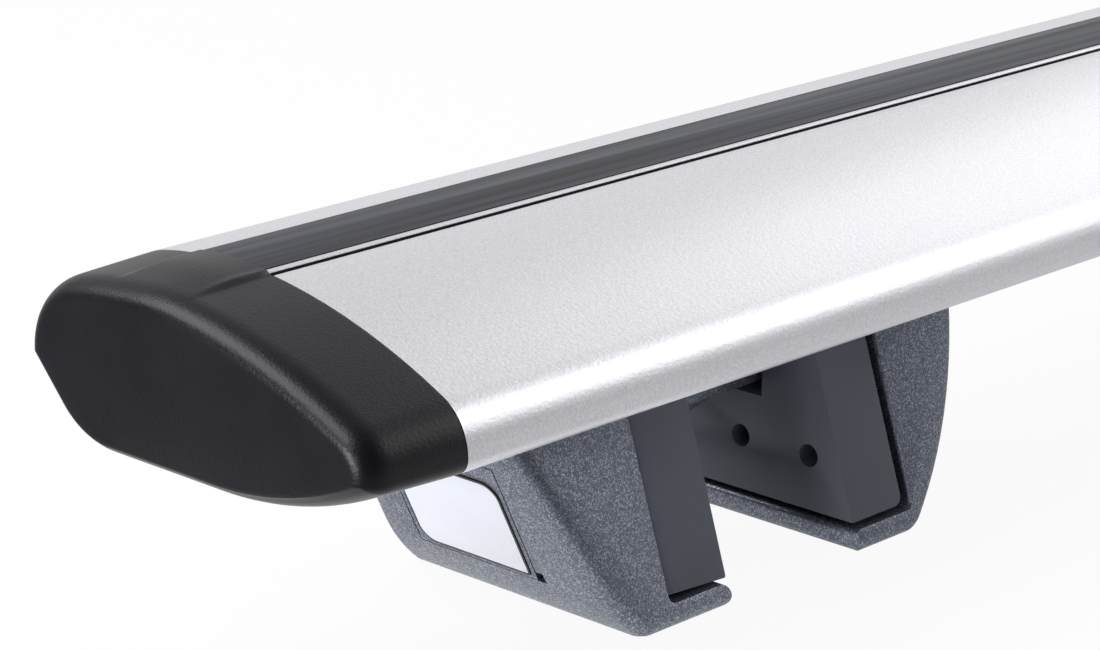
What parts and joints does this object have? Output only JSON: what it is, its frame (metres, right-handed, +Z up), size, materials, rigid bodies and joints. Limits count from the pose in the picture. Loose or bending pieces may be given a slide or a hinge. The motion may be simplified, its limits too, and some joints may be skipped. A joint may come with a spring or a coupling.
{
  "type": "roof rack crossbar",
  "caption": "Wing-section aluminium roof bar with a ribbed top strip, end caps and two screw-clamp feet that grip raised roof rails.",
  "frame": {"origin": "middle of the overall box, on the plane that the feet stand on", "axes": "+X along the bar, -Y towards the rounded nose of the wing section, +Z up"},
  "size_m": [1.186, 0.085, 0.0735],
  "materials": {
    "bar": "satin anodised",
    "strip": "ribbed matte",
    "cap": "fine grained",
    "jaw": "textured dark grey coat",
    "pad": "smooth matte",
    "fastener": "zinc plated",
    "cover": "matte",
    "badge": "blank gloss"
  },
  "bodies": {
    "bar": {"bar_profile": "bar", "slot_strip": "strip", "end_cap_left": "cap", "end_cap_right": "cap"},
    "foot_left": {"foot_base_left": "jaw", "inner_pad_left": "pad", "clamp_nut_left": "fastener", "slot_nut_left": "fastener", "fixing_screw_left": "fastener"},
    "jaw_left": {"outer_jaw_left": "jaw", "outer_pad_left": "pad"},
    "screw_left": {"clamp_screw_left": "fastener", "screw_washer_left": "fastener"},
    "cover_left": {"screw_cover_left": "cover", "badge_plate_left": "badge"},
    "foot_right": {"foot_base_right": "jaw", "inner_pad_right": "pad", "clamp_nut_right": "fastener", "slot_nut_right": "fastener", "fixing_screw_right": "fastener"},
    "jaw_right": {"outer_jaw_right": "jaw", "outer_pad_right": "pad"},
    "screw_right": {"clamp_screw_right": "fastener", "screw_washer_right": "fastener"},
    "cover_right": {"screw_cover_right": "cover", "badge_plate_right": "badge"}
  },
  "joints": [
    {"name": "foot_slide_left", "type": "slide", "parent": "bar", "child": "foot_left", "axis": [1, 0, 0], "range_m": [-0.03, 0.2]},
    {"name": "jaw_slide_left", "type": "slide", "parent": "foot_left", "child": "jaw_left", "axis": [0.9781, 0, 0.2079], "range_m": [-0.01, 0.0025]},
    {"name": "screw_turn_left", "type": "hinge", "parent": "jaw_left", "child": "screw_left", "pos_m": [-0.474, 0.0075, 0.0334], "axis": [0.9781, 0, 0.2079], "range_deg": [-2885, 725]},
    {"name": "cover_pull_left", "type": "slide", "parent": "jaw_left", "child": "cover_left", "axis": [-0.898, 0, -0.4399], "range_m": [0, 0.03]},
    {"name": "foot_slide_right", "type": "slide", "parent": "bar", "child": "foot_right", "axis": [-1, 0, 0], "range_m": [-0.03, 0.2]},
    {"name": "jaw_slide_right", "type": "slide", "parent": "foot_right", "child": "jaw_right", "axis": [-0.9781, 0, 0.2079], "range_m": [-0.01, 0.0025]},
    {"name": "screw_turn_right", "type": "hinge", "parent": "jaw_right", "child": "screw_right", "pos_m": [0.474, 0.0075, 0.0334], "axis": [-0.9781, 0, 0.2079], "range_deg": [-2885, 725]},
    {"name": "cover_pull_right", "type": "slide", "parent": "jaw_right", "child": "cover_right", "axis": [0.898, 0, -0.4399], "range_m": [0, 0.03]}
  ],
  "couplings": [
    {"joint": "screw_turn_left", "follows": "jaw_slide_left", "rad_per_m": 5026.5},
    {"joint": "screw_turn_right", "follows": "jaw_slide_right", "rad_per_m": 5026.5}
  ]
}
